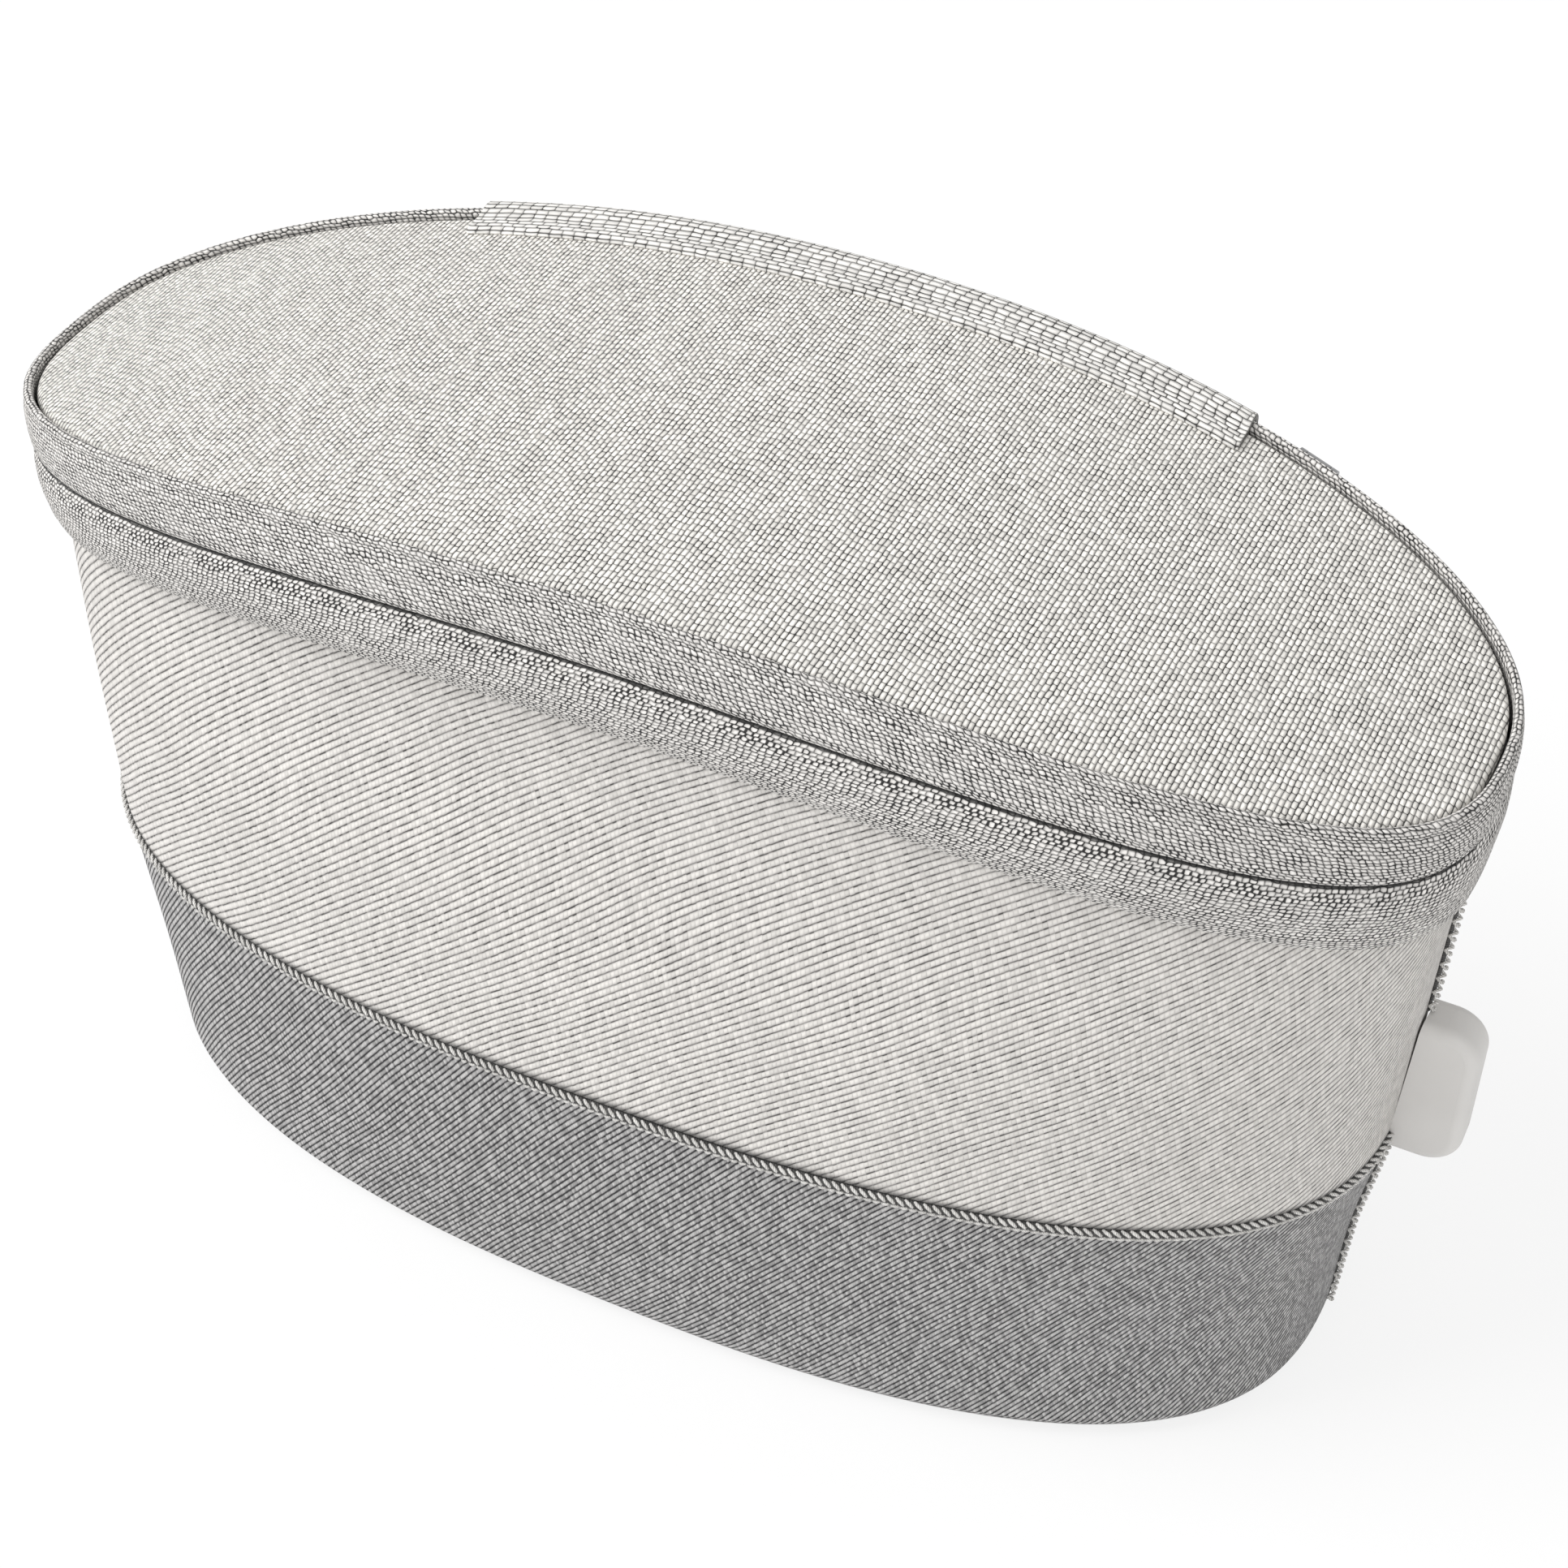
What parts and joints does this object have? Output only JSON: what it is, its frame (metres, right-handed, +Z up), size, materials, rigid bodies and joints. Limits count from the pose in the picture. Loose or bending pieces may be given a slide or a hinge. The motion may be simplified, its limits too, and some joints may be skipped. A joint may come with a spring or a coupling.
{
  "type": "uv sterilizer bag",
  "caption": "Oval soft zip-top ultraviolet sterilizer bag with an arched fold-back lid, lights in its walls and a phone rack.",
  "frame": {"origin": "middle of the flat underside, which rests on the table", "axes": "+X along the bag towards the end with the grip tab, -Y is the front, +Y the hinge side, +Z up"},
  "size_m": [0.2239, 0.1034, 0.1456],
  "materials": {
    "pale_weave": "coarse woven",
    "zip_knit": "knit tape",
    "zip_coil": "matte",
    "pale_twill": "fine twill",
    "grey_twill": "fine twill",
    "seam_cord": "woven cord",
    "soft_silicone": "matte",
    "foam": "open cell",
    "bright_liner": "satin",
    "white_plastic": "matte",
    "grey_plastic": "matte",
    "button_plastic": "satin",
    "lens_plastic": "gloss",
    "clear_window": "clear",
    "circuit": "satin",
    "light_chip": "gloss",
    "flat_lead": "matte",
    "battery_wrap": "satin",
    "black_plastic": "matte",
    "steel": "satin",
    "zip_metal": "satin"
  },
  "bodies": {
    "bag_body": {"base_tray": "white_plastic", "battery_lead": "flat_lead", "battery_pack": "battery_wrap", "bottom_panel": "grey_twill", "charging_socket": "steel", "circuit_board": "circuit", "circuit_screws": "steel", "control_box": "white_plastic", "control_panel": "grey_plastic", "device_rack": "white_plastic", "foam_shell": "foam", "grip_tab": "soft_silicone", "hinge_strip_body": "pale_weave", "inner_liner": "bright_liner", "lid_sensor": "black_plastic", "lower_wrap": "grey_twill", "mouth_wire": "steel", "rack_screws": "steel", "seam_piping": "seam_cord", "side_seam_tape": "seam_cord", "status_lens": "lens_plastic", "tact_switch": "black_plastic", "upper_wrap": "pale_twill", "uv_bezel_back_left": "white_plastic", "uv_bezel_back_right": "white_plastic", "uv_bezel_front_left": "white_plastic", "uv_bezel_front_right": "white_plastic", "uv_board_back_left": "circuit", "uv_board_back_right": "circuit", "uv_board_front_left": "circuit", "uv_board_front_right": "circuit", "uv_chip_back_left": "light_chip", "uv_chip_back_right": "light_chip", "uv_chip_front_left": "light_chip", "uv_chip_front_right": "light_chip", "uv_lead_back_left": "flat_lead", "uv_lead_back_right": "flat_lead", "uv_lead_front_left": "flat_lead", "uv_lead_front_right": "flat_lead", "uv_window_back_left": "clear_window", "uv_window_back_right": "clear_window", "uv_window_front_left": "clear_window", "uv_window_front_right": "clear_window", "zip_coil_body": "zip_coil", "zip_end_stops": "zip_metal", "zip_tape_body": "zip_knit"},
    "lid": {"lid_fabric": "pale_weave", "lid_core": "foam", "lid_liner": "bright_liner", "zip_tape_lid": "zip_knit", "zip_coil_lid": "zip_coil", "lid_wire": "steel", "lid_magnet": "steel", "hinge_strip_lid": "pale_weave"},
    "power_button": {"power_button": "button_plastic", "switch_plunger": "black_plastic"},
    "zip_slider": {"zip_slider": "zip_metal"},
    "zip_pull": {"zip_pull": "zip_metal"}
  },
  "joints": [
    {"name": "lid_hinge", "type": "hinge", "parent": "bag_body", "child": "lid", "pos_m": [0, 0.04515, 0.1347], "axis": [-1, 0, 0], "range_deg": [0, 110]},
    {"name": "power_button_press", "type": "slide", "parent": "bag_body", "child": "power_button", "axis": [0, -0.9941, 0.1087], "range_m": [0, 0.0007], "stiffness_N_per_m": 600, "springref_m": -0.001},
    {"name": "zip_slider_run", "type": "hinge", "parent": "bag_body", "child": "zip_slider", "pos_m": [0.04512, -0.05111, 0.11179], "axis": [-0.1541, 0.2145, -0.9645], "range_deg": [0, 12]},
    {"name": "zip_pull_swing", "type": "hinge", "parent": "zip_slider", "child": "zip_pull", "pos_m": [0.06885, 0.0418, 0.12799], "axis": [0.9533, -0.2297, -0.1963], "range_deg": [0, 95]}
  ]
}
